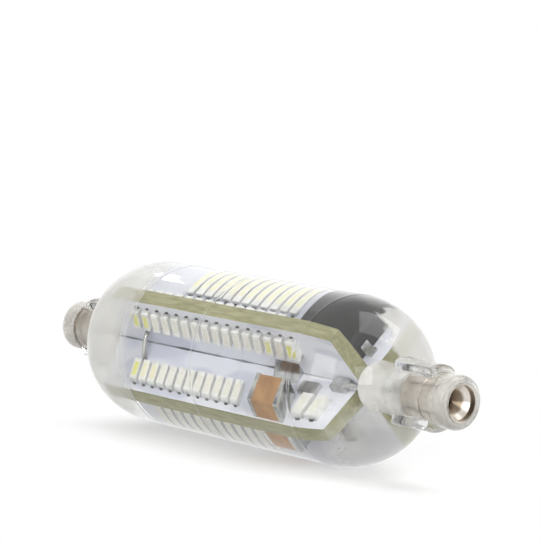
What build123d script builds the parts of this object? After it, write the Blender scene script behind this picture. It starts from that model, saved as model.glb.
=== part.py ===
# Double-ended linear LED bulb: a cross of two circuit boards potted in clear silicone.
# Millimetres. X runs along the bulb, Z is up, the origin is midway between the two tips.
# An arm of the cross is named by its angle about X, from -Y (front) towards +Z (top).

import os
from math import cos, radians, sin

from build123d import *

# Silicone moulding
overall_length = 78.3
body_diameter = 22.0
end_length = 9.45
dome_flat_radius = 0.1
neck_diameter = 6.5
neck_root_radius = 0.8
tip_diameter = 6.8
tip_length = 2.85
tip_edge_radius = 0.9
wing_span = 8.5
wing_thickness = 4.0
wing_length = 5.8
wing_corner_radius = 0.8

# Circuit boards
board_length = 43.6
board_width = 16.1
board_thickness = 1.8
slot_clearance = 0.05

# LED packages: pitch on each board and start of the rows as shares of the board's length
led_pitch_a = board_length * 0.0484
led_pitch_b = board_length * 0.0443
led_start_a = board_length * -0.381
led_start_front = board_length * -0.3585
led_start_back = board_length * -0.28
led_radius = 5.1
led_width = 1.4
led_length = 3.0
led_height = 0.8
led_terminal_length = 0.3
led_terminal_height = 0.45
window_width = 0.9
window_length = 2.0
window_depth = 0.25

# Turned end contacts
contact_recess = 0.25
cup_diameter = 4.5
cup_depth = 0.8
cone_depth = 1.6
lip_diameter = 4.9
lip_length = 1.9
groove_diameter = 3.3
groove_length = 0.5
band_diameter = 3.8
band_length = 2.6
collar_diameter = 4.2
collar_length = 0.4
sleeve_diameter = 3.7
sleeve_length = 2.8
shank_diameter = 1.6
shank_length = 2.0

# Milky bushes between the contacts and the boards
bush_diameter = 5.4
bush_gap = 0.3
bush_rounding = 1.3

# Lead wires and their solder
lead_diameter = 0.7
lead_seat = 1.0
lead_radius = 1.7
lead_landing = 2.6
lead_run_in = 0.6
lead_bend = 1.0
lead_lift = 0.12
lead_solder_length = 2.0
lead_solder_cover = 0.3
lead_solder_width = 1.3
lead_solder_height = 0.95
lead_solder_rounding = 0.3

# Jumper wires and solder bridges in the valleys of the cross
jumper_diameter = 0.8
jumper_reach = 2.1
jumper_rise = 1.0
jumper_bend = 0.6
jumper_end_gap = 7.05
bridge_leg = 1.2
bridge_length = 3.6
bridge_hollow = 0.3
bridge_front_end_gap = 7.3
bridge_top_end_gap = 4.4

# Bridge rectifier
rectifier_end_gap = 6.1
rectifier_radius = 4.7
rectifier_length = 7.4
rectifier_width = 6.0
rectifier_height = 2.3
rectifier_bevel = 0.35
rectifier_lead_width = 1.0
rectifier_lead_spacing = 3.6
rectifier_lead_foot = 0.9
rectifier_lead_rise = 1.2
rectifier_lead_sheet = 0.22

# Ceramic capacitors
capacitor_end_gap = 9.3
capacitor_radius = 5.65
capacitor_length = 5.7
capacitor_width = 4.2
capacitor_height = 2.5
capacitor_cap = 0.75
capacitor_step = 0.06
capacitor_rounding = 0.25

# Chip resistors
resistor_length = 2.0
resistor_width = 1.25
resistor_height = 0.5
resistor_cap = 0.35
resistor_front_end_gap = 5.4
resistor_front_radius = 2.6
resistor_rear_end_gap = 5.6

half_length = overall_length / 2
body_length = overall_length - 2 * end_length
dome_radius = body_diameter / 2 - dome_flat_radius
board_end = board_length / 2
board_half = board_thickness / 2
slot_width = board_thickness + 2 * slot_clearance
contact_front = half_length - contact_recess
jumper_place = jumper_end_gap - board_end
bridge_front_end = board_end - bridge_front_end_gap
bridge_top_end = bridge_top_end_gap - board_end
rectifier_place = board_end - rectifier_end_gap
capacitor_place = board_end - capacitor_end_gap
resistor_front_place = board_end - resistor_front_end_gap
resistor_rear_place = board_end - resistor_rear_end_gap


# Places on the cross
def arm_direction(angle):
    return Vector(0, -cos(radians(angle)), sin(radians(angle)))


def arm_plane(angle):
    # The arm's middle plane: local x along the bulb, local y out along the arm
    return Plane(origin=(0, 0, 0), x_dir=(1, 0, 0), z_dir=Vector(1, 0, 0).cross(arm_direction(angle)))


def face_plane(angle, side):
    # One face of an arm, side -1 towards smaller angles: local y out along the arm, local z off the face
    outward = arm_plane(angle).z_dir * -side
    return Plane(origin=outward * board_half, x_dir=(-side, 0, 0), z_dir=outward)


def face_spots(side, places, radius, height=0):
    return [(-side * place, radius, height) for place in places]


def valley_plane(angle, place):
    # Across the bulb, with local x along the arm at this angle and local y along the next arm
    return Plane(origin=(place, 0, 0), x_dir=arm_direction(angle), z_dir=(-1, 0, 0))


# Circuit boards, half-lapped: each is slotted from one end to the middle
def board(angle, slot_end):
    with BuildPart() as blank:
        with BuildSketch(arm_plane(angle)):
            Rectangle(board_length, board_width)
            with Locations((slot_end * board_length / 4, 0)):
                Rectangle(board_length / 2, slot_width, mode=Mode.SUBTRACT)
        extrude(amount=board_half, both=True)
    return blank.part


with BuildPart() as board_a:
    add(board(45, 1))

with BuildPart() as board_b:
    add(board(-45, -1))

# The silicone stops at the boards, so the thin gap of the slots stays empty
with BuildPart() as slot_core:
    with BuildSketch(valley_plane(45, board_end)):
        Rectangle(slot_width, slot_width)
    extrude(amount=board_length)

# LED rows: name, arm, face, start, pitch, and the positions that hold an LED, counted from the left
led_rows = [
    ("front_upper", 45, -1, led_start_a, led_pitch_a, [*range(16)]),
    ("front_lower", -45, 1, led_start_front, led_pitch_b, [*range(12), 17, 18]),
    ("top_front", 45, 1, led_start_a, led_pitch_a, [*range(14)]),
    ("top_back", 135, -1, led_start_back, led_pitch_b, [*range(12)]),
    ("back_upper", 135, 1, led_start_back, led_pitch_b, [*range(12)]),
    ("back_lower", 225, -1, led_start_a, led_pitch_a, [*range(12)]),
    ("bottom_back", 225, 1, led_start_a, led_pitch_a, [*range(12)]),
    ("bottom_front", -45, -1, led_start_front, led_pitch_b, [*range(12)]),
]
on_board = (Align.CENTER, Align.CENTER, Align.MIN)
from_top = (Align.CENTER, Align.CENTER, Align.MAX)
terminal_reach = (led_length - led_terminal_length) / 2


def led_row(angle, side, places):
    face = face_plane(angle, side)
    inner = face_spots(side, places, led_radius - terminal_reach)
    outer = face_spots(side, places, led_radius + terminal_reach)
    with BuildPart(face) as blanks:
        with Locations(*face_spots(side, places, led_radius)):
            Box(led_width, led_length, led_height, align=on_board)
    with BuildPart(face) as windows:
        with Locations(*face_spots(side, places, led_radius, led_height)):
            Box(window_width, window_length, window_depth, align=from_top)
    with BuildPart(face) as terminals:
        with Locations(*inner, *outer):
            Box(led_width, led_terminal_length, led_terminal_height, align=on_board)
    with BuildPart() as frames:
        add(blanks.part)
        add([windows.part, terminals.part], mode=Mode.SUBTRACT)
    return blanks.part, frames.part, windows.part, terminals.part


pieces = {"board_a": board_a.part, "board_b": board_b.part}
buried = [board_a.part, board_b.part, slot_core.part]
for row, angle, side, start, pitch, positions in led_rows:
    places = [start + pitch * position for position in positions]
    blanks, frames, windows, terminals = led_row(angle, side, places)
    pieces[f"led_frames_{row}"] = frames
    pieces[f"led_windows_{row}"] = windows
    pieces[f"led_terminals_{row}"] = terminals
    buried.append(blanks)

# Bridge rectifier on the upper back arm, with two leads at each end
rectifier_face = face_plane(135, -1)
with BuildPart(rectifier_face) as rectifier_body:
    with Locations((rectifier_place, rectifier_radius)):
        Box(rectifier_length, rectifier_width, rectifier_height, align=on_board)
    top = rectifier_body.faces().sort_by(Axis((0, 0, 0), rectifier_face.z_dir))[-1]
    chamfer(top.edges(), rectifier_bevel)

with BuildPart() as rectifier_leads:
    for end in (-1, 1):
        for row in (-1, 1):
            start = rectifier_face.from_local_coords((
                rectifier_place + end * rectifier_length / 2,
                rectifier_radius + row * rectifier_lead_spacing / 2,
                0,
            ))
            along = Vector(end, 0, 0)
            with BuildSketch(Plane(origin=start, x_dir=along, z_dir=along.cross(rectifier_face.z_dir))):
                with Locations((rectifier_lead_foot / 2, 0)):
                    Rectangle(rectifier_lead_foot, rectifier_lead_sheet, align=(Align.CENTER, Align.MIN))
                Rectangle(rectifier_lead_sheet, rectifier_lead_rise, align=Align.MIN)
            extrude(amount=rectifier_lead_width / 2, both=True)

# Ceramic capacitors, one on each face of the lower front arm
capacitor_reach = (capacitor_length - capacitor_cap) / 2


def capacitor(side):
    face = face_plane(-45, side)
    caps_at = [capacitor_place - capacitor_reach, capacitor_place + capacitor_reach]
    with BuildPart(face) as body:
        with Locations(*face_spots(side, [capacitor_place], capacitor_radius)):
            Box(
                capacitor_length - 2 * capacitor_cap,
                capacitor_width - 2 * capacitor_step,
                capacitor_height - capacitor_step,
                align=on_board,
            )
        fillet(body.edges().filter_by(Axis.X).group_by(Axis((0, 0, 0), face.z_dir))[-1], capacitor_rounding)
    with BuildPart(face) as caps:
        with Locations(*face_spots(side, caps_at, capacitor_radius)):
            Box(capacitor_cap, capacitor_width, capacitor_height, align=on_board)
        fillet(caps.edges().filter_by(Axis.X).group_by(Axis((0, 0, 0), face.z_dir))[-1], capacitor_rounding)
    return body.part, caps.part


capacitor_front, capacitor_front_caps = capacitor(1)
capacitor_under, capacitor_under_caps = capacitor(-1)

# Chip resistors: arm, face, place along the bulb and radius
resistor_spots = [
    (-45, 1, resistor_front_place, resistor_front_radius),
    (45, 1, resistor_rear_place, led_radius),
    (135, 1, resistor_rear_place, led_radius),
    (225, 1, resistor_rear_place, led_radius),
]
resistor_reach = (resistor_length - resistor_cap) / 2

with BuildPart() as chip_resistors:
    for angle, side, place, radius in resistor_spots:
        with Locations(face_plane(angle, side)):
            with Locations(*face_spots(side, [place], radius)):
                Box(resistor_length - 2 * resistor_cap, resistor_width, resistor_height, align=on_board)

with BuildPart() as chip_resistor_caps:
    for angle, side, place, radius in resistor_spots:
        with Locations(face_plane(angle, side)):
            with Locations(*face_spots(side, [place - resistor_reach, place + resistor_reach], radius)):
                Box(resistor_cap, resistor_width, resistor_height, align=on_board)

# End contacts, turned from a stepped blank with a conical cup in the front
contact_steps = [
    (lip_diameter, lip_length),
    (groove_diameter, groove_length),
    (band_diameter, band_length),
    (collar_diameter, collar_length),
    (sleeve_diameter, sleeve_length),
    (shank_diameter, shank_length),
]
turned_outline = [(contact_front, 0)]
shank_end = contact_front
for diameter, length in contact_steps:
    turned_outline.append((shank_end, diameter / 2))
    shank_end -= length
    turned_outline.append((shank_end, diameter / 2))
turned_outline.append((shank_end, 0))
sleeve_end = shank_end + shank_length

with BuildPart() as contact_blank:
    with BuildSketch():
        with BuildLine():
            Polyline(*turned_outline, close=True)
        make_face()
    revolve(axis=Axis.X)

# Lead wire: out of the shank, down to the upper face of the lower front arm, and into its solder
lead_plane = arm_plane(-45)
lead_height = -board_half - lead_lift - lead_diameter / 2
lead_end = board_end - lead_landing

with BuildPart() as lead_wire_right:
    with BuildLine(lead_plane):
        FilletPolyline(
            (shank_end + lead_seat, 0, 0),
            (shank_end - lead_run_in, 0, 0),
            (board_end + lead_run_in, lead_radius, lead_height),
            (lead_end, lead_radius, lead_height),
            radius=lead_bend,
        )
    with BuildSketch(Plane(origin=(shank_end + lead_seat, 0, 0), z_dir=(-1, 0, 0))):
        Circle(lead_diameter / 2)
    sweep()

with BuildPart(face_plane(-45, 1)) as solder_blob:
    with Locations(*face_spots(1, [lead_end - lead_solder_cover + lead_solder_length / 2], lead_radius)):
        Box(lead_solder_length, lead_solder_width, lead_solder_height, align=on_board)
    solder_top = solder_blob.faces().sort_by(Axis((0, 0, 0), face_plane(-45, 1).z_dir))[-1]
    fillet(solder_top.edges(), lead_solder_rounding)

with BuildPart() as lead_solder_right:
    add(solder_blob.part)
    add(lead_wire_right.part, mode=Mode.SUBTRACT)

with BuildPart() as contact_right:
    add(contact_blank.part)
    with BuildSketch():
        with BuildLine():
            Polyline(
                (contact_front, 0),
                (contact_front, cup_diameter / 2),
                (contact_front - cup_depth, cup_diameter / 2),
                (contact_front - cup_depth - cone_depth, 0),
                close=True,
            )
        make_face()
    revolve(axis=Axis.X, mode=Mode.SUBTRACT)
    add(lead_wire_right.part, mode=Mode.SUBTRACT)

# Bush round the shank and the wire, rounded where it faces the boards
with BuildPart() as bush_blank:
    with BuildSketch(Plane(origin=(board_end + bush_gap, 0, 0), z_dir=(1, 0, 0))):
        Circle(bush_diameter / 2)
    extrude(amount=sleeve_end - board_end - bush_gap)
    fillet(bush_blank.edges().filter_by(GeomType.CIRCLE).sort_by(Axis.X)[0], bush_rounding)

with BuildPart() as contact_bush_right:
    add(bush_blank.part)
    add([contact_blank.part, lead_wire_right.part], mode=Mode.SUBTRACT)


# The left end is the right end turned half round the vertical
def left_end(piece):
    return piece.rotate(Axis.Z, 180)


with BuildPart() as contact_left:
    add(left_end(contact_right.part))

with BuildPart() as contact_bush_left:
    add(left_end(contact_bush_right.part))

with BuildPart() as lead_wire_left:
    add(left_end(lead_wire_right.part))

with BuildPart() as lead_solder_left:
    add(left_end(lead_solder_right.part))


# Jumper wire from one arm to the next, bent twice round the corner of the valley
def jumper(angle):
    valley = valley_plane(angle, jumper_place)
    far = board_half + jumper_reach
    near = board_half + jumper_rise
    foot = valley.from_local_coords((far, board_half, 0))
    with BuildPart() as wire:
        with BuildLine(valley):
            FilletPolyline((far, board_half), (far, near), (near, far), (board_half, far), radius=jumper_bend)
        with BuildSketch(Plane(origin=foot, z_dir=valley.y_dir)):
            Circle(jumper_diameter / 2)
        sweep()
    return wire.part


with BuildPart() as jumper_front:
    add(jumper(-45))

with BuildPart() as jumper_back:
    add(jumper(135))

# Solder bridges: hollow fillets in the corners, by arm angle and right-hand end
bridge_spots = [
    (-45, bridge_front_end),
    (135, bridge_front_end),
    (45, bridge_top_end),
    (225, bridge_top_end),
]
bridge_tip = board_half + bridge_leg
bridge_middle = board_half + bridge_leg / 2 - bridge_hollow / 2

with BuildPart() as solder_bridges:
    for angle, end in bridge_spots:
        with BuildSketch(valley_plane(angle, end)):
            with BuildLine():
                Polyline((board_half, bridge_tip), (board_half, board_half), (bridge_tip, board_half))
                ThreePointArc((bridge_tip, board_half), (bridge_middle, bridge_middle), (board_half, bridge_tip))
            make_face()
        extrude(amount=bridge_length)

# Silicone moulding, with its cavities left by everything potted in it
pieces.update({
    "rectifier_body": rectifier_body.part,
    "rectifier_leads": rectifier_leads.part,
    "capacitor_front": capacitor_front,
    "capacitor_front_caps": capacitor_front_caps,
    "capacitor_under": capacitor_under,
    "capacitor_under_caps": capacitor_under_caps,
    "chip_resistors": chip_resistors.part,
    "chip_resistor_caps": chip_resistor_caps.part,
    "contact_bush_right": contact_bush_right.part,
    "contact_bush_left": contact_bush_left.part,
    "lead_wire_right": lead_wire_right.part,
    "lead_wire_left": lead_wire_left.part,
    "lead_solder_right": lead_solder_right.part,
    "lead_solder_left": lead_solder_left.part,
    "jumper_front": jumper_front.part,
    "jumper_back": jumper_back.part,
    "solder_bridges": solder_bridges.part,
})
buried += [piece for name, piece in pieces.items() if not name.startswith(("board", "led_"))]
buried += [contact_blank.part, left_end(contact_blank.part)]

with BuildPart() as silicone_body:
    Cylinder(body_diameter / 2, body_length, rotation=(0, 90, 0))
    fillet(silicone_body.edges().filter_by(GeomType.CIRCLE), dome_radius)
    Cylinder(neck_diameter / 2, overall_length, rotation=(0, 90, 0))
    rings = silicone_body.edges().filter_by(GeomType.CIRCLE)
    neck_rings = rings.filter_by(lambda ring: abs(ring.radius - neck_diameter / 2) < 0.01)
    fillet(neck_rings.sort_by(lambda ring: abs(ring.center().X))[:2], neck_root_radius)
    with BuildSketch(Plane.YZ):
        Circle(wing_span / 2)
        Rectangle(wing_thickness, wing_span, mode=Mode.INTERSECT)
    extrude(amount=body_length / 2 + wing_length, both=True)
    rings = silicone_body.edges().filter_by(GeomType.CIRCLE)
    wing_rings = rings.filter_by(lambda ring: abs(ring.radius - wing_span / 2) < 0.01)
    fillet(wing_rings, wing_corner_radius)
    for end in (-1, 1):
        with Locations(Location((end * (half_length - tip_length / 2), 0, 0), (0, 90, 0))):
            Cylinder(tip_diameter / 2, tip_length)
    rings = silicone_body.edges().filter_by(GeomType.CIRCLE)
    fillet(rings.sort_by(lambda ring: abs(ring.center().X))[-2:], tip_edge_radius)
    for end in (-1, 1):
        with Locations(Location((end * (half_length - contact_recess / 2), 0, 0), (0, 90, 0))):
            Cylinder(lip_diameter / 2, contact_recess, mode=Mode.SUBTRACT)
    add(buried, mode=Mode.SUBTRACT)

pieces.update({
    "contact_right": contact_right.part,
    "contact_left": contact_left.part,
    "silicone_body": silicone_body.part,
})

os.makedirs("parts", exist_ok=True)
for name, piece in pieces.items():
    piece.label = name
    export_step(piece, f"parts/{name}.step")
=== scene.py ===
import math

import bpy
from mathutils import Matrix, Vector, noise


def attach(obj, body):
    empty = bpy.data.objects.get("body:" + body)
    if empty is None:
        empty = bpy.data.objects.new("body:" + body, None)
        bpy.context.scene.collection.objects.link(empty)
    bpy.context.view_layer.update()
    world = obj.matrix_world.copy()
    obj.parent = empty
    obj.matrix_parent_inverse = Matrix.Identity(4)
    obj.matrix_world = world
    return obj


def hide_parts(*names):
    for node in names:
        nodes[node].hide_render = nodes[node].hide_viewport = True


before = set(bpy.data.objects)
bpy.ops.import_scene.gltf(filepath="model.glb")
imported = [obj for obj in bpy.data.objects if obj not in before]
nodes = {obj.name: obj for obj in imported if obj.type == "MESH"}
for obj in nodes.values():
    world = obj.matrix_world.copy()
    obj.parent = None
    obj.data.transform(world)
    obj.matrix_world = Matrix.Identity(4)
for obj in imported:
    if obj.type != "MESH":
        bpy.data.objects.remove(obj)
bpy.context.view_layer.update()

mm = 0.001
plainWhite = (1, 1, 1, 1)
print("frame loaded:", len(nodes), "nodes")


# small helpers for node trees
def freshMaterial(name):
    material = bpy.data.materials.new(name)
    material.use_nodes = True
    tree = material.node_tree
    tree.nodes.clear()
    output = tree.nodes.new("ShaderNodeOutputMaterial")
    return material, tree, output


def addNode(tree, kind, **settings):
    node = tree.nodes.new(kind)
    for key, value in settings.items():
        setattr(node, key, value)
    return node


def feed(tree, socket, value):  # a socket takes a plain value or another node's output
    if isinstance(value, bpy.types.NodeSocket):
        tree.links.new(value, socket)
    else:
        socket.default_value = value


def linear(red, green, blue):  # sRGB bytes to a linear colour
    def channel(byte):
        share = byte / 255
        return share / 12.92 if share <= 0.04045 else ((share + 0.055) / 1.055) ** 2.4
    return (channel(red), channel(green), channel(blue), 1)


def objectCoords(tree, stretch=(1, 1, 1)):
    coords = addNode(tree, "ShaderNodeTexCoord")
    mapping = addNode(tree, "ShaderNodeMapping")
    mapping.inputs["Scale"].default_value = stretch
    tree.links.new(coords.outputs["Object"], mapping.inputs["Vector"])
    return mapping.outputs["Vector"]


def alongBulb(tree, coords):
    split = addNode(tree, "ShaderNodeSeparateXYZ")
    tree.links.new(coords, split.inputs["Vector"])
    return split.outputs["X"]


def addNoise(tree, vector, scale, detail):
    grain = addNode(tree, "ShaderNodeTexNoise")
    grain.inputs["Scale"].default_value = scale
    grain.inputs["Detail"].default_value = detail
    tree.links.new(vector, grain.inputs["Vector"])
    return grain.outputs["Fac"]


def addRamp(tree, value, stops, hardEdges=False):
    ramp = addNode(tree, "ShaderNodeValToRGB")
    elements = ramp.color_ramp.elements
    if hardEdges:
        ramp.color_ramp.interpolation = "CONSTANT"
    while len(elements) < len(stops):
        elements.new(0.5)
    while len(elements) > len(stops):
        elements.remove(elements[-1])
    for element, (place, colour) in zip(elements, stops):
        element.position = place
        element.color = colour
    tree.links.new(value, ramp.inputs["Fac"])
    return ramp.outputs["Color"]


def addRange(tree, value, start=(0, 1), end=(0, 1), smooth=False):
    spread = addNode(tree, "ShaderNodeMapRange")
    if smooth:
        spread.interpolation_type = "SMOOTHSTEP"
    for key, limit in zip(("From Min", "From Max", "To Min", "To Max"), (*start, *end)):
        spread.inputs[key].default_value = limit
    tree.links.new(value, spread.inputs["Value"])
    return spread.outputs["Result"]


def addMath(tree, operation, *values):
    result = addNode(tree, "ShaderNodeMath", operation=operation)
    for socket, value in zip(result.inputs, values):
        feed(tree, socket, value)
    return result.outputs["Value"]


def addDistance(tree, vector, place):
    away = addNode(tree, "ShaderNodeVectorMath", operation="DISTANCE")
    away.inputs[1].default_value = place
    tree.links.new(vector, away.inputs[0])
    return away.outputs["Value"]


def addBump(tree, height, distance, strength=1.0):
    bump = addNode(tree, "ShaderNodeBump")
    bump.inputs["Distance"].default_value = distance
    bump.inputs["Strength"].default_value = strength
    tree.links.new(height, bump.inputs["Height"])
    return bump.outputs["Normal"]


def mixColours(tree, factor, first, second, blend="MIX"):
    mix = addNode(tree, "ShaderNodeMix", data_type="RGBA", blend_type=blend)
    for key, value in zip(("Factor", "A", "B"), (factor, first, second)):
        feed(tree, mix.inputs[key], value)
    return mix.outputs["Result"]


def mixShaders(tree, factor, first, second):
    mix = addNode(tree, "ShaderNodeMixShader")
    for socket, value in zip(mix.inputs, (factor, first, second)):
        feed(tree, socket, value)
    return mix.outputs["Shader"]


def addPrincipled(tree, output, **sockets):
    shader = addNode(tree, "ShaderNodeBsdfPrincipled")
    for key, value in sockets.items():
        shader.inputs[key.replace("_", " ")].default_value = value
    if output:
        tree.links.new(shader.outputs["BSDF"], output.inputs["Surface"])
    return shader


def addGrain(tree, shader, look):
    # one fine grain gives a finish its two tones and its bump
    grain = addNoise(tree, objectCoords(tree), look["scale"], look["detail"])
    tree.links.new(addRamp(tree, grain, look["tones"]), shader.inputs["Base Color"])
    tree.links.new(addBump(tree, grain, look["depth"]), shader.inputs["Normal"])
    return grain


# clear silicone: lamps pass straight in, the eye sees it bend the light
siliconeLook = {
    "tint": (0.83, 0.83, 0.82, 1),
    "ior": 1.41,
    "rough": 0.03,
    "waveScale": 210,
    "waveDetail": 2,
    "waveDepth": 0.000006,
    "lampTint": (0.95, 0.95, 0.95, 1),
}


def clearSilicone():
    look = siliconeLook
    material, tree, output = freshMaterial("clearSilicone")
    waves = addNoise(tree, objectCoords(tree), look["waveScale"], look["waveDetail"])
    shader = addPrincipled(tree, None, Base_Color=look["tint"], Roughness=look["rough"], IOR=look["ior"],
                           Transmission_Weight=1.0)
    tree.links.new(addBump(tree, waves, look["waveDepth"]), shader.inputs["Normal"])
    lampPass = addNode(tree, "ShaderNodeBsdfTransparent")
    lampPass.inputs["Color"].default_value = look["lampTint"]
    rays = addNode(tree, "ShaderNodeLightPath")
    mix = mixShaders(tree, rays.outputs["Is Shadow Ray"], shader.outputs["BSDF"], lampPass.outputs["BSDF"])
    tree.links.new(mix, output.inputs["Surface"])
    return material


# circuit board: white mask with faint tracks on the faces, olive glass fibre on the cut edges
boardLook = {
    "rough": 0.38,
    "faceLimit": 0.7,
    "maskTones": ((0.42, linear(205, 208, 220)), (0.5, linear(226, 228, 236))),
    "trackStretch": (0.35, 1, 1),
    "trackScale": 300,
    "trackDetail": 1,
    "fibreTones": ((0.3, linear(130, 129, 90)), (0.65, linear(160, 158, 122))),
    "fibreStretch": (0.15, 1, 1),
    "fibreScale": 2600,
    "fibreDetail": 3,
    "fibreDepth": 0.00002,
}


def boardMaterial(name, angle):
    look = boardLook
    material, tree, output = freshMaterial(name)
    shader = addPrincipled(tree, output, Roughness=look["rough"])
    # the face's normal lies across the arm, every cut edge's normal along it or along the bulb
    turn = math.radians(angle)
    geometry = addNode(tree, "ShaderNodeNewGeometry")
    across = addNode(tree, "ShaderNodeVectorMath", operation="DOT_PRODUCT")
    across.inputs[1].default_value = (0, math.sin(turn), math.cos(turn))
    tree.links.new(geometry.outputs["True Normal"], across.inputs[0])
    size = addMath(tree, "ABSOLUTE", across.outputs["Value"])
    onFace = addMath(tree, "GREATER_THAN", size, look["faceLimit"])
    tracks = addNoise(tree, objectCoords(tree, look["trackStretch"]), look["trackScale"], look["trackDetail"])
    fibres = addNoise(tree, objectCoords(tree, look["fibreStretch"]), look["fibreScale"], look["fibreDetail"])
    colour = mixColours(tree, onFace, addRamp(tree, fibres, look["fibreTones"]),
                        addRamp(tree, tracks, look["maskTones"]))
    tree.links.new(colour, shader.inputs["Base Color"])
    tree.links.new(addBump(tree, fibres, look["fibreDepth"]), shader.inputs["Normal"])
    return material


# phosphor gel: some LEDs of the front rows show the gel's own yellow; most of the others get a nearly white
# painted sheen, the whitish look of a gel seen at a slant
phosphorLook = {
    "tints": {"palePaintedSheen": linear(236, 234, 222), "warmPaintedSheen": linear(238, 235, 200), "deep": linear(234, 234, 132)},
    "rowTints": {  # where along the bulb each tint begins
        "front_upper": ((-22.0, "deep"), (-13.4, "palePaintedSheen"), (9.8, "deep"), (11.9, "palePaintedSheen"), (14.0, "deep")),
        "front_lower": ((-22.0, "deep"), (-14.7, "warmPaintedSheen"), (-10.8, "palePaintedSheen")),
        "top_back": ((-22.0, "warmPaintedSheen"),),
        "back_upper": ((-22.0, "warmPaintedSheen"),),
    },
    "span": 22.0,
    "paler": 0.3,
    "rough": 0.22,
    "scale": 3000,
    "detail": 2,
    "depth": 0.00001,
}


def phosphorMaterial(row):
    look = phosphorLook
    palePaintedSheen, span = look["tints"]["palePaintedSheen"], look["span"]
    material, tree, output = freshMaterial("phosphor." + row)
    # painted sheen: the pale and warm tints stand for the gel's whitish look at a slant
    shader = addPrincipled(tree, output, Base_Color=palePaintedSheen, Roughness=look["rough"])
    coords = objectCoords(tree)
    if row in look["rowTints"]:
        along = addRange(tree, alongBulb(tree, coords), (-span * mm, span * mm))
        stops = [((x + span) / (2 * span), look["tints"][tint]) for x, tint in look["rowTints"][row]]
        tints = addRamp(tree, along, stops, hardEdges=True)
        islands = addNode(tree, "ShaderNodeNewGeometry")  # every gel differs a little
        fade = addRange(tree, islands.outputs["Random Per Island"], end=(0, look["paler"]))
        tree.links.new(mixColours(tree, fade, tints, palePaintedSheen), shader.inputs["Base Color"])
    grain = addNoise(tree, coords, look["scale"], look["detail"])
    tree.links.new(addBump(tree, grain, look["depth"]), shader.inputs["Normal"])
    return material


# finishes of one grain: tin and solder, a darkened solder whose dark tones are painted dark reflection, white
# LED frames, tan ceramic, black epoxy
grainLooks = {
    "tinMetal": {"tones": ((0.3, linear(160, 160, 158)), (0.6, linear(214, 214, 210))), "metallic": 1.0,
                 "rough": 0.25, "scale": 900, "detail": 4, "depth": 0.00003},
    "whiteTinMetal": {"tones": ((0.3, linear(200, 200, 197)), (0.6, linear(232, 232, 229))), "metallic": 1.0,
                      "rough": 0.45, "scale": 900, "detail": 4, "depth": 0.00003},
    "solderMetal": {"tones": ((0.3, linear(128, 130, 132)), (0.6, linear(206, 208, 208))), "metallic": 1.0,
                    "rough": 0.2, "scale": 700, "detail": 4, "depth": 0.00003},
    # painted dark reflection: this solder is coloured much darker than the metal is
    "paintedShadeSolderMetal": {"tones": ((0.3, linear(70, 70, 68)), (0.6, linear(120, 119, 116))), "metallic": 1.0,
                        "rough": 0.3, "scale": 900, "detail": 4, "depth": 0.00003},
    "ledFrameWhite": {"tones": ((0.35, linear(224, 224, 218)), (0.6, linear(240, 240, 236))), "metallic": 0.0,
                      "rough": 0.42, "scale": 900, "detail": 2, "depth": 0.00001},
    "tanCeramic": {"tones": ((0.35, linear(158, 114, 68)), (0.65, linear(182, 138, 86))), "metallic": 0.0,
                   "rough": 0.42, "scale": 500, "detail": 4, "depth": 0.00002},
    "blackEpoxy": {"tones": ((0.35, linear(15, 15, 16)), (0.65, linear(26, 26, 28))), "metallic": 0.0,
                   "rough": 0.5, "scale": 1500, "detail": 4, "depth": 0.00002},
}


def grainedFinish(name):
    look = grainLooks[name]
    material, tree, output = freshMaterial(name)
    shader = addPrincipled(tree, output, Metallic=look["metallic"], Roughness=look["rough"])
    addGrain(tree, shader, look)
    return material


# turned nickel of the contacts: fine rings, a little tarnish, and painted shade that darkens the cup towards
# its point
nickelLook = {
    "tones": ((0.3, linear(184, 175, 164)), (0.62, linear(222, 216, 208))),
    "rough": 0.28,
    "tarnishScale": 450,
    "tarnishDetail": 4,
    "ringScale": 260,
    "ringWander": 0.6,
    "ringDepth": 0.000015,
    "ringStrength": 0.6,
    "cupRadius": 2.25 * mm,
    "cupPaintedShade": ((0.1, linear(70, 60, 52)), (0.22, linear(120, 108, 95)), (0.62, linear(152, 142, 128)),
                 (0.75, plainWhite)),
}


def turnedNickel():
    look = nickelLook
    material, tree, output = freshMaterial("turnedNickel")
    shader = addPrincipled(tree, output, Metallic=1.0, Roughness=look["rough"])
    rings = addNode(tree, "ShaderNodeTexWave", wave_type="BANDS", bands_direction="X")
    rings.inputs["Scale"].default_value = look["ringScale"]
    rings.inputs["Distortion"].default_value = look["ringWander"]
    tree.links.new(objectCoords(tree), rings.inputs["Vector"])
    tarnish = addNoise(tree, objectCoords(tree), look["tarnishScale"], look["tarnishDetail"])
    # painted shade: the colour darkens nearer the axis than most of the cup's radius, darkest at the centre
    offAxis = addNode(tree, "ShaderNodeVectorMath", operation="LENGTH")
    tree.links.new(objectCoords(tree, (0, 1, 1)), offAxis.inputs[0])
    share = addRange(tree, offAxis.outputs["Value"], (0, look["cupRadius"]))
    colour = mixColours(tree, 1.0, addRamp(tree, tarnish, look["tones"]),
                        addRamp(tree, share, look["cupPaintedShade"]), "MULTIPLY")
    tree.links.new(colour, shader.inputs["Base Color"])
    tree.links.new(addBump(tree, rings.outputs["Fac"], look["ringDepth"], look["ringStrength"]),
                   shader.inputs["Normal"])
    return material


# milky silicone of the bushes: half clear, cloudier in places
milkLook = {
    "tones": ((0.35, linear(228, 227, 223)), (0.65, linear(242, 241, 238))),
    "rough": 0.3,
    "scale": 260,
    "detail": 3,
    "depth": 0.00003,
    "cloudRange": (0.3, 0.7),
    "density": (0.35, 0.75),
}


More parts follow.
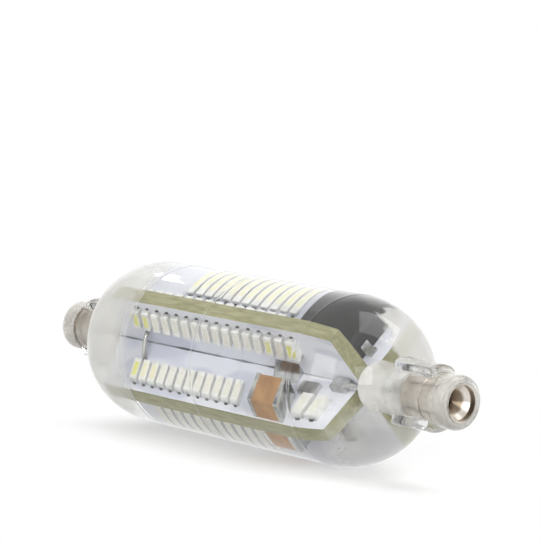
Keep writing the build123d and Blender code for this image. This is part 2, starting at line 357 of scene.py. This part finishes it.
def milkySilicone():
    look = milkLook
    material, tree, output = freshMaterial("milkySilicone")
    shader = addPrincipled(tree, None, Roughness=look["rough"], IOR=siliconeLook["ior"])
    clouds = addGrain(tree, shader, look)
    clear = addNode(tree, "ShaderNodeBsdfTransparent")
    density = addRange(tree, clouds, look["cloudRange"], look["density"])
    mix = mixShaders(tree, density, clear.outputs["BSDF"], shader.outputs["BSDF"])
    tree.links.new(mix, output.inputs["Surface"])
    return material


silicone = clearSilicone()
milk = milkySilicone()
tin = grainedFinish("tinMetal")
whiteTin = grainedFinish("whiteTinMetal")
solder = grainedFinish("solderMetal")
paintedShadeSolder = grainedFinish("paintedShadeSolderMetal")
ledWhite = grainedFinish("ledFrameWhite")
ceramic = grainedFinish("tanCeramic")
epoxy = grainedFinish("blackEpoxy")
nickel = turnedNickel()
nodeFinish = {
    "board_a": boardMaterial("boardFaceA", 45),
    "board_b": boardMaterial("boardFaceB", -45),
    "rectifier_body": epoxy,
    "rectifier_leads": tin,
    "capacitor_front": ceramic,
    "capacitor_under": ceramic,
    "capacitor_front_caps": tin,
    "capacitor_under_caps": tin,
    "chip_resistors": epoxy,
    "chip_resistor_caps": tin,
    "contact_right": nickel,
    "contact_left": nickel,
    "contact_bush_right": milk,
    "contact_bush_left": milk,
    "lead_wire_right": tin,
    "lead_wire_left": tin,
    "lead_solder_right": solder,
    "lead_solder_left": solder,
    "jumper_front": tin,
    "jumper_back": tin,
    "solder_bridges": solder,
}


def finishFor(name):
    if name.startswith("led_frames"):
        return ledWhite
    if name.startswith("led_windows"):
        return phosphorMaterial(name.removeprefix("led_windows_"))
    if name.startswith("led_terminals"):
        return whiteTin
    return nodeFinish.get(name)


for name, thing in nodes.items():
    finish = finishFor(name)
    if finish:
        thing.data.materials.clear()
        thing.data.materials.append(finish)
print("finishes set")


def makePiece(name, points, faces, material, smooth=True):
    mesh = bpy.data.meshes.new(name)
    mesh.from_pydata([tuple(point) for point in points], [], faces)
    mesh.validate()
    mesh.materials.append(material)
    for polygon in mesh.polygons:
        polygon.use_smooth = smooth
    piece = bpy.data.objects.new(name, mesh)
    bpy.context.scene.collection.objects.link(piece)
    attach(piece, "root")
    return piece


# silicone skin, in mm: one smooth closed form round the potted parts, its inner wall hidden in the metal
skin = {
    "bodyRadius": 11.0,
    "bodyHalf": 29.7,
    "domeRadius": 10.9,
    "neckRadius": 3.25,
    "rootRadius": 0.8,
    "tipRadius": 3.4,
    "tipLength": 2.85,
    "tipBack": 0.1,
    "tipStep": 0.6,
    "tipRound": 0.9,
    "half": 39.15,
    "mouthRadius": 2.45,
    "mouthDepth": 0.25,
    "lip": ((-0.01, 0.015), (-0.05, 0)),  # from the mouth's rim: along, outwards
    "mouthFloor": ((0.01, 0), (-0.04, -0.09)),  # from the foot of the mouth's wall
    "inMetal": ((38.1, 2.35), (37.4, 2.0), (36.9, 1.45), (36.4, 1.3), (33.0, 1.4), (31.0, 1.2), (30.9, 0.5),
                (29.0, 0.45)),
    "wingRadius": 4.25,
    "wingHalfThick": 2.0,
    "wingInset": 1.2,
    "wingEnd": 35.5,
    "wingRound": 0.8,
    "wingDrop": 0.004,
    "neckLead": 0.7,
    "tipLead": 0.2,
    "edgeSoft": 0.25,
    "ripple": 0.002,
    "rippleLength": 5.5,
    "rippleFade": 3.0,
    "seams": ((-14.0, 0.06, 0.25), (0.0, 0.035, 0.16), (19.4, 0.06, 0.25)),  # place, height, width
    "seamZone": (25, 9),  # rows nearer the middle and farther out than this are sorted with the seams'
    "steps": {"around": 176, "body": 76, "dome": 52, "root": 10, "neck": 60, "tipBack": 4, "tip": 4,
              "tipRound": 8, "wing": 10, "seam": 6, "seamWidth": 3},
}
domeX = skin["bodyHalf"] - skin["domeRadius"]
domeR = skin["bodyRadius"] - skin["domeRadius"]
tipX = skin["half"] - skin["tipLength"]


def arcPoints(centre, radius, start, end, count):
    turns = [math.radians(start + (end - start) * step / count) for step in range(count + 1)]
    return [(centre[0] + radius * math.cos(turn), centre[1] + radius * math.sin(turn)) for turn in turns]


def skinProfile():
    # from mid-length to the tip, over the lip and back inside the contact's metal
    s, steps = skin, skin["steps"]
    rootR = s["neckRadius"] + s["rootRadius"]
    rootX = domeX + math.sqrt((s["domeRadius"] + s["rootRadius"]) ** 2 - (rootR - domeR) ** 2)
    meet = math.degrees(math.atan2(rootR - domeR, rootX - domeX))
    outer = [(domeX * step / steps["body"], s["bodyRadius"]) for step in range(steps["body"])]
    outer += arcPoints((domeX, domeR), s["domeRadius"], 90, meet, steps["dome"])
    outer += arcPoints((rootX, rootR), s["rootRadius"], 180 + meet, 270, steps["root"])[1:]
    outer += [(rootX + (tipX - rootX) * step / steps["neck"], s["neckRadius"])
              for step in range(1, steps["neck"])]
    outer += arcPoints((tipX, s["tipRadius"] - s["tipBack"]), s["tipBack"], 180, 90, steps["tipBack"])
    outer += [(tipX + s["tipStep"] * step, s["tipRadius"]) for step in range(1, steps["tip"])]
    outer += arcPoints((s["half"] - s["tipRound"], s["tipRadius"] - s["tipRound"]), s["tipRound"], 90, 0,
                       steps["tipRound"])
    outer += [(s["half"] + along, s["mouthRadius"] + out) for along, out in s["lip"]]
    floor = s["half"] - s["mouthDepth"]
    inner = [(floor + along, s["mouthRadius"] + out) for along, out in s["mouthFloor"]]
    return outer, inner + list(s["inMetal"])


def softMax(a, b, soft):
    blend = max(soft - abs(a - b), 0) / soft
    return max(a, b) + blend * blend * soft / 4


def softMin(a, b, soft):
    return -softMax(-a, -b, soft)


def wingReach(x, turn):
    # how far the neck's flat wings stand out at this place along the bulb and this turn from the top
    s = skin
    outer = s["wingRadius"]
    straight = s["wingEnd"] - s["wingRound"]
    if x > straight:
        outer += math.sqrt(max(s["wingRound"] ** 2 - (x - straight) ** 2, 0)) - s["wingRound"]
    flat = s["wingHalfThick"] / max(abs(math.sin(turn)), 1e-3)
    return softMin(outer, flat, s["edgeSoft"])


def skinRadius(x, radius, turn):
    s = skin
    if s["bodyHalf"] - s["wingInset"] < x <= s["wingEnd"]:
        radius = softMax(radius, wingReach(x, turn), s["edgeSoft"])
    return radius


def skinRipple(x, radius, turn):
    # the moulding's slow unevenness and the thin flash lines round it
    s = skin
    if abs(x) >= s["bodyHalf"]:
        return 0
    fade = min(1, (s["bodyHalf"] - abs(x)) / s["rippleFade"])
    place = Vector((x, radius * math.sin(turn), radius * math.cos(turn))) / s["rippleLength"]
    lift = s["ripple"] * noise.noise(place) * fade
    for seamX, height, width in s["seams"]:
        lift += height * math.exp(-((x - seamX) / width) ** 2)
    return lift


def skinRows():
    # place along the bulb, radius, and whether it is outside, from the left contact's inside to the right's
    s, steps = skin, skin["steps"]
    outer, inner = skinProfile()
    # the neck gets more rows where the wings end; the tip's back edge keeps only its outermost row
    neck = [point for point in outer if s["bodyHalf"] + s["neckLead"] < point[0] < tipX]
    outer = [point for point in outer if point not in neck]
    first = next(i for i, point in enumerate(outer) if point[0] > tipX - s["tipLead"])
    wingRows = [s["wingEnd"] - s["wingRound"] * (1 - math.sin(math.radians(90 * step / steps["wing"])))
                for step in range(steps["wing"] + 1)]
    places = sorted([point[0] for point in neck] + wingRows + [s["wingEnd"] + s["wingDrop"]])
    outer[first:first] = [(x, s["neckRadius"]) for x in places]
    right = [(x, radius, True) for x, radius in outer] + [(x, radius, False) for x, radius in inner]
    left = [(-x, radius, outside) for x, radius, outside in reversed(right[1:])]
    rows = left + right
    for seamX, height, width in s["seams"]:  # close rows across each flash line
        for step in range(-steps["seam"], steps["seam"] + 1):
            x = seamX + width * step / steps["seamWidth"]
            radius = s["bodyRadius"]
            past = abs(x) - domeX
            if past > 0:
                radius += math.sqrt(s["domeRadius"] ** 2 - past ** 2) - s["domeRadius"]
            rows.append((x, radius, True))
    zoneX, zoneRadius = s["seamZone"]
    middle = [row for row in rows if abs(row[0]) < zoneX and row[1] > zoneRadius]
    before = [row for row in left if row not in middle]
    after = [row for row in right if row not in middle]
    return before + sorted(middle) + after


def buildSkin():
    rows = skinRows()
    around = skin["steps"]["around"]
    points, faces = [], []
    for x, radius, outside in rows:
        for step in range(around):
            turn = 2 * math.pi * step / around
            reach = radius
            if outside:
                reach = skinRadius(abs(x), radius, turn) + skinRipple(x, radius, turn)
            points.append((x * mm, reach * math.sin(turn) * mm, reach * math.cos(turn) * mm))
    for row in range(len(rows) - 1):
        for step in range(around):
            a = row * around + step
            b = row * around + (step + 1) % around
            faces.append((a, a + around, b + around, b))
    for row, order in ((0, 1), (len(rows) - 1, -1)):  # both ends are closed inside the contacts
        centre = len(points)
        points.append((rows[row][0] * mm, 0, 0))
        for step in range(around):
            pair = (row * around + step, row * around + (step + 1) % around)
            faces.append((*pair, centre) if order > 0 else (*reversed(pair), centre))
    return makePiece("siliconeSkin", points, faces, silicone)


skinPiece = buildSkin()
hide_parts("silicone_body")
print("silicone skin:", len(skinPiece.data.polygons), "faces")

# cloudy layers, in mm: just under the skin of both ends, from the straight body to the neck, and a sleeve
# in each tip; a spot is its centre, where it is densest, where it has thinned out, and its density
cloud = {
    "depth": 0.35,
    "thick": 0.12,
    "neckRadius": 4.2,
    "steps": {"around": 96, "body": 8, "dome": 30, "tip": 12},
    "white": linear(242, 241, 238),
    "rough": 0.6,
    "grain": 420,
    "detail": 4,
    "ragged": 2.6,
    "bump": 0.00004,
    "through": 0.5,
    "left": {"start": 14.2, "spots": (((-21.0, -9.5, 1.0), 9.0, 14.0, 0.4),), "thin": 0.14,
             "fadeIn": (-14.2, -17.5, 0.45)},
    "right": {"start": 10.0, "thin": 0.02, "spots": (
        ((18.5, 3.6, 9.6), 2.6, 7.5, 0.22), ((27.2, 3.4, 6.8), 4.6, 5.8, 0.5),
        ((24.2, -9.4, 0.6), 1.6, 4.2, 0.14), ((27.0, -1.0, -6.8), 4.6, 8.5, 0.32))},
    "leftTip": {"tip": (36.5, 38.9, 3.0), "thick": 0.45, "thin": 0.1,
                "spots": (((-38.9, 0, 0), 2.6, 4.4, 0.45),)},
    "rightTip": {"tip": (36.5, 38.9, 3.0), "thick": 0.45, "thin": 0.1,
                 "spots": (((38.9, 0, 0), 2.6, 4.4, 0.55),)},
}


def cloudMaterial(side):
    look = cloud[side]
    material, tree, output = freshMaterial("cloudySilicone." + side)
    coords = objectCoords(tree)
    grain = addNoise(tree, coords, cloud["grain"], cloud["detail"])
    shift = cloud["ragged"] * mm
    ragged = addRange(tree, grain, end=(-shift, shift))  # moves the spots' edges in and out
    density = None
    for centre, near, far, dense in look["spots"]:
        away = addDistance(tree, coords, [value * mm for value in centre])
        spot = addRange(tree, addMath(tree, "ADD", away, ragged), (near * mm, far * mm),
                        (dense, look["thin"]), smooth=True)
        density = spot if density is None else addMath(tree, "MAXIMUM", density, spot)
    if "fadeIn" in look:  # thinner next to the flash line
        start, end, least = look["fadeIn"]
        fade = addRange(tree, alongBulb(tree, coords), (start * mm, end * mm), (least, 1))
        density = addMath(tree, "MULTIPLY", density, fade)
    haze = addPrincipled(tree, None, Base_Color=cloud["white"], Roughness=cloud["rough"],
                         IOR=siliconeLook["ior"])
    tree.links.new(addBump(tree, grain, cloud["bump"]), haze.inputs["Normal"])
    through = addNode(tree, "ShaderNodeBsdfTranslucent")  # lets light from the far side show in the haze
    through.inputs["Color"].default_value = cloud["white"]
    both = mixShaders(tree, cloud["through"], haze.outputs["BSDF"], through.outputs["BSDF"])
    clear = addNode(tree, "ShaderNodeBsdfTransparent")
    tree.links.new(mixShaders(tree, density, clear.outputs["BSDF"], both), output.inputs["Surface"])
    return material


def layerProfile(start, depth):
    # a line this deep under the skin, from its start on the straight body over the dome to the neck
    steps = cloud["steps"]
    reach = skin["domeRadius"] - depth
    neckTurn = math.degrees(math.asin((cloud["neckRadius"] - domeR) / reach))
    line = [(start + (domeX - start) * step / steps["body"], domeR + reach) for step in range(steps["body"])]
    return line + arcPoints((domeX, domeR), reach, 90, neckTurn, steps["dome"])


def buildCloud(side):
    look, steps = cloud[side], cloud["steps"]
    if "tip" in look:
        first, last, radius = look["tip"]
        line = [first + (last - first) * step / steps["tip"] for step in range(steps["tip"] + 1)]
        outer = [(x, radius) for x in line]
        inner = [(x, radius - look["thick"]) for x in line]
    else:
        outer = layerProfile(look["start"], cloud["depth"])
        inner = layerProfile(look["start"], cloud["depth"] + cloud["thick"])
    loop = outer + inner[::-1]
    flip = 1 if side.startswith("right") else -1
    around = steps["around"]
    points = [(flip * x * mm, r * math.sin(2 * math.pi * step / around) * mm,
               r * math.cos(2 * math.pi * step / around) * mm) for x, r in loop for step in range(around)]
    faces = []
    for row in range(len(loop)):
        after = (row + 1) % len(loop)
        for step in range(around):
            turn = (step + 1) % around
            face = (row * around + step, after * around + step, after * around + turn, row * around + turn)
            faces.append(face if flip > 0 else face[::-1])
    makePiece("cloudLayer." + side, points, faces, cloudMaterial(side))


for side in ("left", "right", "leftTip", "rightTip"):
    buildCloud(side)
print("cloudy ends made")


def armAxes(angle, side):
    # along an arm of the cross, and off its face on this side
    turn = math.radians(angle)
    out = Vector((0, -math.cos(turn), math.sin(turn)))
    return out, Vector((1, 0, 0)).cross(out) * -side


# painted shade: a dark strip in the corner of each valley, for the shadow in the gap where the two boards
# meet, in mm
gapShade = {
    "arms": (45, 135, 225, 315),
    "half": 21.6,
    "board": 0.9,
    "thin": 0.05,
    "wide": 0.15,
    "steps": 90,
    "patchLength": 3,
    "patchLevel": 0.5,
    "tones": ((0.42, linear(72, 74, 80)), (0.6, linear(150, 152, 160))),
    "stretch": (0.4, 1, 1),
    "scale": 420,
    "detail": 3,
    "rough": 0.6,
}


def gapShadeMaterial():
    # painted shade: grey patches, dark in places, stand for the shadow down in the gap
    material, tree, output = freshMaterial("boardGapShade")
    shader = addPrincipled(tree, output, Roughness=gapShade["rough"])
    patches = addNoise(tree, objectCoords(tree, gapShade["stretch"]), gapShade["scale"], gapShade["detail"])
    tree.links.new(addRamp(tree, patches, gapShade["tones"]), shader.inputs["Base Color"])
    return material


def buildGapShades():
    points, faces = [], []
    for angle in gapShade["arms"]:
        first, second = armAxes(angle, 1)[0], armAxes(angle - 90, 1)[0]
        corner = (first + second) * gapShade["board"] * mm
        start = len(points)
        for step in range(gapShade["steps"] + 1):
            x = -gapShade["half"] + 2 * gapShade["half"] * step / gapShade["steps"]
            grow = gapShade["patchLevel"] + noise.noise(Vector((x / gapShade["patchLength"], angle, 0)))
            leg = (gapShade["thin"] + (gapShade["wide"] - gapShade["thin"]) * min(max(grow, 0), 1)) * mm
            for shift in (Vector(), first * leg, second * leg):
                points.append(Vector((x * mm, 0, 0)) + corner + shift)
        for step in range(gapShade["steps"]):
            row = start + step * 3
            for side in range(3):
                other = (side + 1) % 3
                faces.append((row + side, row + other, row + other + 3, row + side + 3))
        faces.append((start + 2, start + 1, start))
        end = start + gapShade["steps"] * 3
        faces.append((end, end + 1, end + 2))
    makePiece("boardGapShades", points, faces, gapShadeMaterial(), smooth=False)


# solder fillets at both ends of every LED, set against its terminals, in mm; their dark colour is painted
# dark reflection
fillet = {
    "reach": 0.24,
    "height": 0.17,
    "width": 0.7,
    "taper": 0.12,
    "slope": ((0, 1), (0.18, 0.55), (0.45, 0.22), (1, 0)),  # hollow, as shares of reach and height
    "rows": {"front_upper": (45, -1), "front_lower": (-45, 1), "top_front": (45, 1), "top_back": (135, -1),
             "back_upper": (135, 1), "back_lower": (225, -1), "bottom_back": (225, 1),
             "bottom_front": (-45, -1)},  # the arm's angle and the side of it
}


def islandsOf(mesh):
    # the separate solids of a node's mesh, as lists of points
    parent = list(range(len(mesh.vertices)))

    def root(i):
        while parent[i] != i:
            parent[i] = parent[parent[i]]
            i = parent[i]
        return i
    places = {}
    for vertex in mesh.vertices:
        key = tuple(round(value, 7) for value in vertex.co)
        other = places.setdefault(key, vertex.index)
        parent[root(vertex.index)] = root(other)
    for edge in mesh.edges:
        parent[root(edge.vertices[0])] = root(edge.vertices[1])
    groups = {}
    for vertex in mesh.vertices:
        groups.setdefault(root(vertex.index), []).append(vertex.co.copy())
    return list(groups.values())


def filletRow(row, angle, side):
    out, up = armAxes(angle, side)
    slope = fillet["slope"]
    count = len(slope) + 1
    points, faces = [], []
    terminals = islandsOf(nodes["led_terminals_" + row].data)

    def meanReach(island):
        return sum(p.dot(out) for p in island) / len(island)
    middle = sum(meanReach(island) for island in terminals) / len(terminals)
    for island in terminals:
        radial = [p.dot(out) for p in island]
        away = 1 if meanReach(island) > middle else -1
        edge = max(radial) if away > 0 else min(radial)
        base = min(p.dot(up) for p in island)
        centre = sum(p.x for p in island) / len(island)
        start = len(points)
        for end in (-1, 1):
            x = centre + end * fillet["width"] * mm / 2
            for reach, height in slope:
                squeeze = -end * fillet["taper"] * mm * reach
                points.append(Vector((x + squeeze, 0, 0)) + out * (edge + away * fillet["reach"] * mm * reach)
                              + up * (base + fillet["height"] * mm * height))
            points.append(Vector((x, 0, 0)) + out * edge + up * base)
        for step in range(count):
            a, b = start + step, start + (step + 1) % count
            faces.append((a, b, b + count, a + count))
        faces.append(tuple(reversed(range(start, start + count))))
        faces.append(tuple(range(start + count, start + 2 * count)))
    makePiece("solderFillets." + row, points, faces, paintedShadeSolder, smooth=False)


for row, (angle, side) in fillet["rows"].items():
    filletRow(row, angle, side)
buildGapShades()
print("solder fillets and joints made")

# floor, world, lamps and camera, in metres
stageLook = {
    "floorZ": -11.07 * mm,
    "floorSize": 6.0,
    "floorWhite": (0.93, 0.93, 0.93, 1),
    "lift": 0.12,
    "fadeX": 8 * mm,
    "nearEdge": 22 * mm,
    "farEdge": 36 * mm,
}


def bouncedRays(tree, rays):  # what metal mirrors and what is seen through the silicone
    return addMath(tree, "MAXIMUM", rays.outputs["Is Glossy Ray"], rays.outputs["Is Transmission Ray"])


def floorMaterial():
    look = stageLook
    material, tree, output = freshMaterial("floorWhite")
    rays = addNode(tree, "ShaderNodeLightPath")
    matte = addNode(tree, "ShaderNodeBsdfDiffuse")
    matte.inputs["Color"].default_value = look["floorWhite"]
    glow = addNode(tree, "ShaderNodeEmission")
    glow.inputs["Color"].default_value = plainWhite
    # near the bulb the eye sees the shaded floor lifted towards white, farther off plain white
    lift = addNode(tree, "ShaderNodeEmission")
    lift.inputs["Color"].default_value = plainWhite
    level = addMath(tree, "MULTIPLY", rays.outputs["Is Camera Ray"], look["lift"])
    tree.links.new(level, lift.inputs["Strength"])
    ground = addNode(tree, "ShaderNodeAddShader")
    tree.links.new(matte.outputs["BSDF"], ground.inputs[0])
    tree.links.new(lift.outputs["Emission"], ground.inputs[1])
    reach = addDistance(tree, objectCoords(tree), (look["fadeX"], 0, look["floorZ"]))
    spread = addRange(tree, reach, (look["nearEdge"], look["farEdge"]), smooth=True)
    eye = addMath(tree, "MULTIPLY", rays.outputs["Is Camera Ray"], spread)
    share = addMath(tree, "MAXIMUM", eye, bouncedRays(tree, rays))
    mix = mixShaders(tree, share, ground.outputs["Shader"], glow.outputs["Emission"])
    tree.links.new(mix, output.inputs["Surface"])
    return material


def buildFloor():
    half, height = stageLook["floorSize"] / 2, stageLook["floorZ"]
    corners = [(-half, -half, height), (half, -half, height), (half, half, height), (-half, half, height)]
    mesh = bpy.data.meshes.new("floor")
    mesh.from_pydata(corners, [], [(0, 1, 2, 3)])
    mesh.materials.append(floorMaterial())
    floor = bpy.data.objects.new("floor", mesh)
    bpy.context.scene.collection.objects.link(floor)


worldLook = {"seen": 1.0, "ambient": 0.5}


def buildWorld():
    world = bpy.data.worlds.new("studio")
    bpy.context.scene.world = world
    world.use_nodes = True
    tree = world.node_tree
    tree.nodes.clear()
    output = addNode(tree, "ShaderNodeOutputWorld")
    sky = addNode(tree, "ShaderNodeBackground")
    sky.inputs["Color"].default_value = plainWhite
    rays = addNode(tree, "ShaderNodeLightPath")
    seen = addMath(tree, "MAXIMUM", rays.outputs["Is Camera Ray"], bouncedRays(tree, rays))
    level = addRange(tree, seen, end=(worldLook["ambient"], worldLook["seen"]))
    tree.links.new(level, sky.inputs["Strength"])
    tree.links.new(sky.outputs["Background"], output.inputs["Surface"])


lamps = {
    "keyLamp": {"place": (0.13, 0.17, 0.45), "size": (0.35, 0.35), "power": 1.05},
    "frontLamp": {"place": (0.10, -0.50, 0.17), "size": (0.30, 0.30), "power": 0.95},
    "fillLamp": {"place": (0.50, -0.22, 0.13), "size": (0.22, 0.22), "power": 0.6},
    "lowLamp": {"place": (0.22, 0.42, 0.06), "size": (0.30, 0.12), "power": 0.35},
    "veilLamp": {"place": (-0.40, 0.27, 0.25), "size": (0.40, 0.40), "power": 0.15},
    "glintLamp": {"place": (-0.404, 0.124, 0.294), "size": (0.006, 0.08), "power": 0.028,
                  "long": (0.003, 0.217, -0.106)},
}


def buildLamps():
    for name, look in lamps.items():
        light = bpy.data.lights.new(name, "AREA")
        light.energy = look["power"]
        light.shape = "RECTANGLE"
        light.size, light.size_y = look["size"]
        lamp = bpy.data.objects.new(name, light)
        away = Vector(look["place"]).normalized()
        tall = Vector(look.get("long", (0, 0, 1)))
        wide = tall.cross(away).normalized()
        pose = Matrix((wide, away.cross(wide), away)).transposed().to_4x4()
        pose.translation = look["place"]
        lamp.matrix_world = pose
        bpy.context.scene.collection.objects.link(lamp)


shot = {
    "azimuth": 50.13,
    "elevation": 9.99,
    "distance": 343.2 * mm,
    "aimRight": 2.0 * mm,
    "aimUp": 11.93 * mm,
    "roll": 5.4,
    "lens": 173.5,
    "sensor": 36,
    "clip": (0.01, 10),
}


def buildCamera():
    turn, lift = math.radians(shot["azimuth"]), math.radians(shot["elevation"])
    back = Vector((math.sin(turn) * math.cos(lift), -math.cos(turn) * math.cos(lift), math.sin(lift)))
    right = Vector((math.cos(turn), math.sin(turn), 0))
    up = back.cross(right)
    place = back * shot["distance"]
    aim = right * shot["aimRight"] + up * shot["aimUp"]
    forward = (aim - place).normalized()
    side = forward.cross(up).normalized()
    rise = side.cross(forward)
    pose = Matrix((side, rise, -forward)).transposed().to_4x4()
    pose.translation = place
    lens = bpy.data.cameras.new("photoCamera")
    lens.lens = shot["lens"]
    lens.sensor_width = shot["sensor"]
    lens.clip_start, lens.clip_end = shot["clip"]
    camera = bpy.data.objects.new("photoCamera", lens)
    bpy.context.scene.collection.objects.link(camera)
    roll = Matrix.Rotation(math.radians(shot["roll"]), 4, "X")  # the bulb lies rolled a little
    camera.matrix_world = roll @ pose
    bpy.context.scene.camera = camera


buildFloor()
buildWorld()
buildLamps()
buildCamera()
bpy.context.scene.view_settings.view_transform = "Standard"
print("stage, lamps and camera ready")
